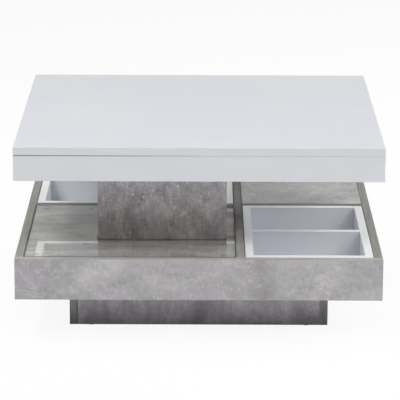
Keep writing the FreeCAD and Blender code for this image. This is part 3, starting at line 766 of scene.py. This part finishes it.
def turned(name, profile, sides):
    """A turned shape along Z, from (height, radius) pairs in millimetres."""
    height, radius = profile[0]
    bpy.ops.object.select_all(action="DESELECT")
    start = (0, 0, height * MM)
    bpy.ops.mesh.primitive_circle_add(vertices=sides, radius=radius * MM, fill_type="NGON", location=start)
    piece = bpy.context.object
    piece.name = name
    bpy.ops.object.transform_apply(location=True, rotation=False, scale=False)
    bpy.ops.object.mode_set(mode="EDIT")
    bpy.ops.mesh.select_mode(type="FACE")
    bpy.ops.mesh.select_all(action="SELECT")
    for next_height, next_radius in profile[1:]:
        rise = (0, 0, (next_height - height) * MM)
        bpy.ops.mesh.extrude_region_move(TRANSFORM_OT_translate={"value": rise})
        grow = next_radius / radius
        bpy.ops.transform.resize(value=(grow, grow, 1), center_override=(0, 0, next_height * MM))
        height, radius = next_height, next_radius
    bpy.ops.mesh.select_all(action="SELECT")
    bpy.ops.mesh.normals_make_consistent(inside=False)
    bpy.ops.object.mode_set(mode="OBJECT")
    print(name, "turned from", len(profile), "rings")
    return piece


def cut(piece, cutter):
    """Takes the shape of one object out of another."""
    modifier = piece.modifiers.new("cut", "BOOLEAN")
    modifier.object = cutter
    bpy.ops.object.select_all(action="DESELECT")
    bpy.context.view_layer.objects.active = piece
    bpy.ops.object.modifier_apply(modifier=modifier.name)
    bpy.data.objects.remove(cutter)


def cross_recess(piece, height, width, length, depth):
    """A driver's cross, cut into the end face that lies at this height."""
    for size in ((width, length), (length, width)):
        bpy.ops.object.select_all(action="DESELECT")
        bpy.ops.mesh.primitive_cube_add(size=1, location=(0, 0, height * MM))
        slot = bpy.context.object
        slot.scale = (size[0] * MM, size[1] * MM, 2 * depth * MM)
        bpy.ops.object.transform_apply(location=True, rotation=False, scale=True)
        cut(piece, slot)


print("helpers made: turned, cut, cross_recess")

# %% [markdown]
# Each copy gets a mesh of its own, moved to its place, and the copies of one CAD node are joined to
# one piece. It stands for that node: it takes over the node's body and gets a finish, and the
# plain rods are hidden.

# %% Setting out copies
SMOOTH_ANGLE = math.radians(35)


def towards(way, where):
    """The move that turns Z to a direction and puts the origin at a place."""
    turn = Vector((0, 0, 1)).rotation_difference(way).to_matrix().to_4x4()
    return Matrix.Translation(where) @ turn


def set_out(node, material, places):
    """Copies (model, matrix) pairs to their places, and lets the copies stand for a CAD node."""
    bpy.ops.object.select_all(action="DESELECT")
    for model, matrix in places:
        copy = model.copy()
        copy.data = model.data.copy()
        copy.data.transform(matrix)
        bpy.context.collection.objects.link(copy)
        copy.select_set(True)
        bpy.context.view_layer.objects.active = copy
    bpy.ops.object.join()
    piece = bpy.context.object
    piece.name = node + "_detailed"
    piece.data.materials.clear()
    piece.data.materials.append(material)
    bpy.ops.object.shade_smooth_by_angle(angle=SMOOTH_ANGLE)
    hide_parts(node)
    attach(piece, BODY_OF[node])
    print(piece.name, len(places), "copies,", len(piece.data.polygons), "faces")


print("helpers made: towards, set_out")

# %% [markdown]
# A pan-head screw has a domed head with a cross recess, a plain neck, a thread and a point. The
# thread is a row of ridges, one per turn, which at this size looks the same as a true helix and
# stays a closed shape.

# %% Screws
SCREW_SIDES = 18
HEAD_HEIGHT = 2.2
HEAD_PROFILE = ((0.0, 1.5), (0.0, 4.0), (0.8, 4.0), (1.5, 3.6), (2.0, 2.8), (2.2, 1.8))
NECK, NECK_RADIUS = 2.0, 1.5
THREAD_PITCH = 1.5
THREAD_RIDGE = ((0.0, 1.4), (0.55, 1.98), (0.75, 1.98))  # from the foot of a turn
POINT, POINT_RADIUS = 3.0, 0.25
DRIVER_CROSS = (0.9, 4.6, 1.5)  # width, length, depth
SCREWED = ("top_block", "base_block", "upper_plate", "lower_plate", "column_foot")


def screw(length):
    """A screw with the underside of its head at the origin and its head up."""
    profile = [(-length, POINT_RADIUS)]
    turns = int((length - POINT - NECK) / THREAD_PITCH)
    for i in range(turns):
        foot = -length + POINT + i * THREAD_PITCH
        profile += [(foot + rise, radius) for rise, radius in THREAD_RIDGE]
    profile += [(-NECK, NECK_RADIUS), *HEAD_PROFILE]
    piece = turned("screw", profile, SCREW_SIDES)
    cross_recess(piece, HEAD_HEIGHT, *DRIVER_CROSS)
    return piece


for held in SCREWED:
    spots = [rod_place(points) for points in solids(held + "_screws")]
    model = screw(round(spots[0][2] / MM, 2) - HEAD_HEIGHT)
    seats = [towards(way, middle + way * (size / 2 - HEAD_HEIGHT * MM)) for middle, way, size in spots]
    set_out(held + "_screws", screw_zinc, [(model, seat) for seat in seats])
    bpy.data.objects.remove(model)

# %% [markdown]
# Dowels are short beech rods with chamfered ends and flutes, which let the glue past. Every third
# line of points along the rod is drawn inwards to make the flutes.

# %% Dowels
DOWEL_SIDES = 24
DOWEL_RADIUS = 4.0
DOWEL_END_RADIUS = 3.2
DOWEL_CHAMFER = 0.9
FLUTE_EVERY = 3
FLUTE_DRAWN_IN = 0.88
DOWELLED = ("top", "column", "tray", "base")


def dowel(length):
    """A fluted dowel along Z, with its middle at the origin."""
    half = length / 2
    end, shoulder = (half, DOWEL_END_RADIUS), (half - DOWEL_CHAMFER, DOWEL_RADIUS)
    profile = ((-end[0], end[1]), (-shoulder[0], shoulder[1]), shoulder, end)
    piece = turned("dowel", profile, DOWEL_SIDES)
    step = 2 * math.pi / DOWEL_SIDES
    for point in piece.data.vertices:
        line = round(math.atan2(point.co.y, point.co.x) / step)
        point.select = line % FLUTE_EVERY == 0 and abs(point.co.z) < (half - DOWEL_CHAMFER / 2) * MM
    for group in (piece.data.edges, piece.data.polygons):
        for part in group:
            part.select = False
    bpy.ops.object.mode_set(mode="EDIT")
    bpy.ops.mesh.select_mode(type="VERT")
    bpy.ops.transform.resize(value=(FLUTE_DRAWN_IN, FLUTE_DRAWN_IN, 1), center_override=(0, 0, 0))
    bpy.ops.object.mode_set(mode="OBJECT")
    return piece


for joined in DOWELLED:
    spots = [rod_place(points) for points in solids(joined + "_dowels")]
    models = {length: dowel(length) for length in {round(spot[2] / MM, 1) for spot in spots}}
    places = [(models[round(size / MM, 1)], towards(way, middle)) for middle, way, size in spots]
    set_out(joined + "_dowels", beech_across, places)
    for model in models.values():
        bpy.data.objects.remove(model)

# %% [markdown]
# A cam lock is a zinc disc in the underside of the tray bottom, with a cross for the driver and a
# channel for the bolt's head. Its channel points outwards, to the frame board that it draws in.

# %% Cam locks
CAM_SIDES = 36
CAM_RADIUS = 7.5
CAM_PROFILE = ((0.0, 6.9), (0.5, 7.45), (11.4, 7.45), (12.0, 6.8))
CAM_CROSS = (1.8, 9.0, 2.6)  # width, length, depth
CHANNEL_SIDES = 24
CHANNEL_RADIUS = 3.1
CHANNEL_LEVEL = 7.5


def outwards(middle):
    """The direction from the tray's middle to the nearest frame board."""
    axis = 0 if abs(middle.x) > abs(middle.y) else 1
    way = Vector((0, 0, 0))
    way[axis] = math.copysign(1.0, middle[axis])
    return way


def cam_lock():
    """A cam with its face down at the origin and its channel towards X."""
    piece = turned("cam_lock", CAM_PROFILE, CAM_SIDES)
    cross_recess(piece, 0.0, *CAM_CROSS)
    bpy.ops.object.select_all(action="DESELECT")
    bpy.ops.mesh.primitive_cylinder_add(
        vertices=CHANNEL_SIDES, radius=CHANNEL_RADIUS * MM, depth=2 * CAM_RADIUS * MM,
        location=(CAM_RADIUS * MM, 0, CHANNEL_LEVEL * MM), rotation=(0, math.pi / 2, 0),
    )
    channel = bpy.context.object
    bpy.ops.object.transform_apply(location=True, rotation=True, scale=False)
    cut(piece, channel)
    return piece


def cam_place(points):
    """The move of a cam to one CAD solid, with its channel outwards."""
    low, high = box_of(points)
    middle = (low + high) / 2
    way = outwards(middle)
    turn = Matrix.Rotation(math.atan2(way.y, way.x), 4, "Z")
    return Matrix.Translation((middle.x, middle.y, low.z)) @ turn


cam = cam_lock()
set_out("cam_locks", zinc_casting, [(cam, cam_place(points)) for points in solids("cam_locks")])
bpy.data.objects.remove(cam)

# %% [markdown]
# The bolt has a round head that the cam grips, a thin neck, a collar and a thread that bites into the
# frame board. All eight point outwards to their board.

# %% Cam bolts
BOLT_SIDES = 18
BOLT_SHANK = (
    (0.0, 1.2), (0.5, 2.3), (1.6, 2.98), (2.8, 2.6), (3.4, 1.6), (8.5, 1.6), (8.5, 2.98), (10.0, 2.98),
    (10.0, 2.2), (24.0, 2.2),
)
BOLT_RIDGE = ((0.4, 2.95), (0.7, 2.95), (1.6, 2.2))  # from the end of the shank or of the last ridge
BOLT_RIDGES, BOLT_PITCH = 4, 2.2
BOLT_TIP = (34.0, 1.7)

profile = [*BOLT_SHANK]
for i in range(BOLT_RIDGES):
    start = BOLT_SHANK[-1][0] + i * BOLT_PITCH
    profile += [(round(start + rise, 2), radius) for rise, radius in BOLT_RIDGE]
bolt = turned("cam_bolt", [*profile, BOLT_TIP], BOLT_SIDES)
spots = [rod_place(points) for points in solids("cam_bolts")]
places = []
for middle, _, size in spots:
    way = outwards(middle)
    places.append((bolt, towards(way, middle - way * size / 2)))
set_out("cam_bolts", screw_zinc, places)
bpy.data.objects.remove(bolt)

# %% [markdown]
# ## Studio
# The floor is white, so it throws a lot of light up against the fronts and the column, which the top
# keeps out of the lamps' reach. Where the camera, a mirror or glass sees the floor, most of it is
# replaced by plain white, and the share of real paint that is left keeps the table's soft shadow.

# %% Floor
FLOOR_SIDE = 14.0
FLOOR_COLOUR = (0.90, 0.90, 0.90)
FLOOR_PALER = (0.918, 0.918, 0.918)
FLOOR_WHITENED = 0.91  # share of plain white where the floor is seen


def floor_paint():
    """White paint that is whitened further where it is seen."""
    material, shader = finish("floor_paint")
    patches = noise(material, place(material), 1.5, 2.0)
    paint = ramp(material, patches, (0.3, FLOOR_COLOUR), (0.7, FLOOR_PALER))
    plug(material, shader.inputs["Base Color"], paint)
    shader.inputs["Roughness"].default_value = 0.9
    shader.inputs["Specular IOR Level"].default_value = 0.0
    paths = add(material, "LightPath")
    seen = sums(material, "MAXIMUM", paths.outputs["Is Camera Ray"], paths.outputs["Is Glossy Ray"])
    shown = sums(material, "MAXIMUM", seen, paths.outputs["Is Transmission Ray"])
    white = add(material, "Emission", Strength=1.0)
    both = add(material, "MixShader", Fac=sums(material, "MULTIPLY", shown, FLOOR_WHITENED))
    plug(material, both.inputs[1], shader.outputs[0])
    plug(material, both.inputs[2], white.outputs[0])
    plug(material, material.node_tree.nodes["Material Output"].inputs["Surface"], both.outputs[0])
    return material


bpy.ops.object.select_all(action="DESELECT")
bpy.ops.mesh.primitive_plane_add(size=FLOOR_SIDE)
floor = bpy.context.object
floor.name = "studio_floor"
floor.data.materials.append(floor_paint())
print(floor.name, FLOOR_SIDE, "m wide")

# %% [markdown]
# The air is dim in front and brighter behind, where the glass mirrors it, so the world's colour goes
# by the direction in which one looks.

# %% Air
AIR_IN_FRONT = 0.22
AIR_BEHIND = 0.33

world = bpy.data.worlds.new("studio_air")
bpy.context.scene.world = world
world.use_nodes = True
direction = add(world, "SeparateXYZ", Vector=add(world, "TexCoord").outputs["Generated"])
air = ramp(world, direction.outputs["Y"], (0.15, (AIR_IN_FRONT,) * 3), (0.60, (AIR_BEHIND,) * 3))
plug(world, world.node_tree.nodes["Background"].inputs["Color"], air)
print("air from", AIR_IN_FRONT, "to", AIR_BEHIND)

# %% [markdown]
# Six softboxes stand round the table, one high at the left and the others low enough to reach in
# under the top. All but the front one are left out of reflections, as a photographer's filter does,
# because seen at a low angle the white top would mirror them and lose its shape.

# %% Softboxes
TARGET = Vector((0, 0, 0.2))
LAMP_DISTANCE = 3.4
LAMP_SIZE = (1.6, 0.9)


def area_lamp(name, where, turn, size, power, mirrored=False):
    """A rectangular lamp, which mirrors and glass show only if asked to."""
    bpy.ops.object.light_add(type="AREA", location=where)
    lamp = bpy.context.object
    lamp.name = name
    lamp.data.shape = "RECTANGLE"
    lamp.data.size, lamp.data.size_y = size
    lamp.data.energy = power
    lamp.visible_glossy = mirrored
    lamp.visible_transmission = mirrored
    lamp.rotation_mode = "QUATERNION"
    lamp.rotation_quaternion = turn
    print(name, power, "W")
    return lamp


def softbox(name, azimuth, elevation, power, mirrored=False):
    """A lamp that looks at the table; degrees go from the front to the right, and up."""
    side, height = math.radians(azimuth), math.radians(elevation)
    reach = math.cos(height)
    way = Vector((math.sin(side) * reach, -math.cos(side) * reach, math.sin(height)))
    turn = (-way).to_track_quat("-Z", "Y")
    area_lamp(name, TARGET + LAMP_DISTANCE * way, turn, LAMP_SIZE, power, mirrored)


softbox("front_softbox", 0, 45, 13.0, mirrored=True)
softbox("front_left_softbox", -45, 38, 22.5)
softbox("front_right_softbox", 45, 38, 25.0)
softbox("left_softbox", -90, 60, 47.0)
softbox("right_softbox", 90, 25, 31.0)
softbox("back_right_softbox", 135, 34, 29.0)

# %% [markdown]
# A bounce card lies on the floor behind the table and throws light up against the rear apron and the
# underside of the top. Their mirror image in the glass is the bright frame that the photograph shows.
# The card is a lamp that looks up and isn't seen itself.

# %% Bounce card
CARD_PLACE = (0.0, 1.6, 0.002)
CARD_SIZE = (3.0, 2.2)
CARD_POWER = 24.0

face_up = Matrix.Rotation(math.pi, 3, "X").to_quaternion()
card = area_lamp("bounce_card", CARD_PLACE, face_up, CARD_SIZE, CARD_POWER)
card.visible_camera = False
